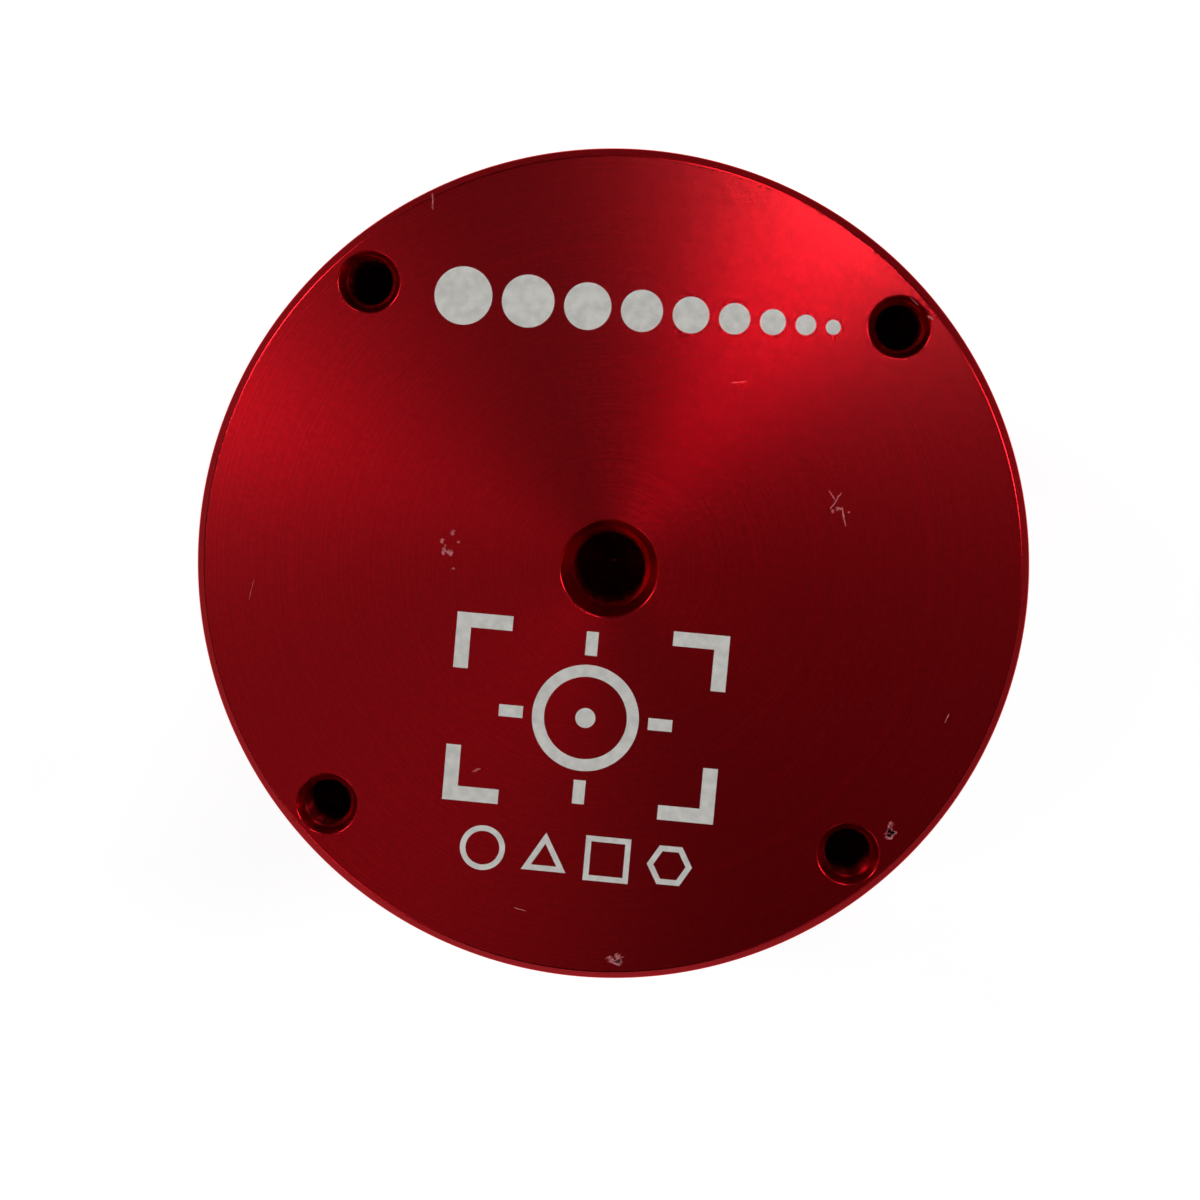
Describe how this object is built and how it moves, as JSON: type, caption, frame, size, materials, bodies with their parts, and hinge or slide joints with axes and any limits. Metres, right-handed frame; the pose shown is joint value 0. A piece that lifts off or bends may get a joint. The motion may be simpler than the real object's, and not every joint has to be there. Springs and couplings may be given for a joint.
{
  "type": "astronomy camera",
  "caption": "Compact uncooled astronomy camera: round red anodised puck with tapped rear face, data and guide sockets, 1.25 inch screw-in nosepiece and slip-on dust cap.",
  "frame": {"origin": "centre of the dust cap's outer face, which the camera stands on", "axes": "+Z along the optical axis, from the dust cap to the rear face; -Y towards the two sockets; +X to the right for somebody who faces the rear face with the sockets at the bottom"},
  "size_m": [0.062, 0.062, 0.065],
  "materials": {
    "red_anodised_body": "red anodised, fine-turned",
    "black_anodised": "black anodised, satin",
    "black_plastic": "moulded polyethylene, fine matte",
    "socket_plastic": "moulded, fine matte",
    "blue_plastic": "moulded, satin",
    "stainless_steel": "machined, satin",
    "nickel_sheet": "pressed and nickel plated",
    "gold_contact": "gold plated",
    "window_glass": "polished, coated",
    "seal_rubber": "moulded",
    "foam": "die-cut foam",
    "sensor_ceramic": "fired, matte",
    "sensor_silicon": "polished silicon with micro-lenses",
    "board_laminate": "glass-epoxy with solder mask",
    "chip_plastic": "moulded epoxy",
    "thermal_pad": "filled silicone, matte",
    "capacitor_ceramic": "fired, matte",
    "crystal_can": "pressed"
  },
  "bodies": {
    "camera_body": {"rear_housing": "red_anodised_body", "front_housing": "red_anodised_body", "housing_screws": "stainless_steel", "window_retainer": "black_anodised", "window_retainer_screws": "stainless_steel", "window_glass": "window_glass", "window_gasket": "seal_rubber", "light_seal": "foam", "sensor_package": "sensor_ceramic", "sensor_die": "sensor_silicon", "sensor_cover_glass": "window_glass", "sensor_board": "board_laminate", "sensor_board_screws": "stainless_steel", "main_board": "board_laminate", "main_board_screws": "stainless_steel", "board_link_socket": "chip_plastic", "board_link_plug": "chip_plastic", "logic_chip": "chip_plastic", "thermal_pad": "thermal_pad", "usb_controller_chip": "chip_plastic", "frame_memory_chip": "chip_plastic", "flash_chip": "chip_plastic", "clock_crystal": "crystal_can", "power_inductors": "chip_plastic", "regulator_chips": "chip_plastic", "ceramic_capacitors": "capacitor_ceramic", "usb_shell": "nickel_sheet", "usb_insulator": "blue_plastic", "usb_contacts": "gold_contact", "guide_socket_body": "socket_plastic", "guide_socket_contacts": "gold_contact"},
    "nosepiece_body": {"nosepiece": "black_anodised"},
    "cap_body": {"dust_cap": "black_plastic"}
  },
  "joints": [
    {"name": "nosepiece_unscrew", "type": "slide", "parent": "camera_body", "child": "nosepiece_body", "axis": [0, 0, -1], "range_m": [0, 0.02]},
    {"name": "dust_cap_pull", "type": "slide", "parent": "nosepiece_body", "child": "cap_body", "axis": [0, 0, -1], "range_m": [0, 0.04]}
  ]
}
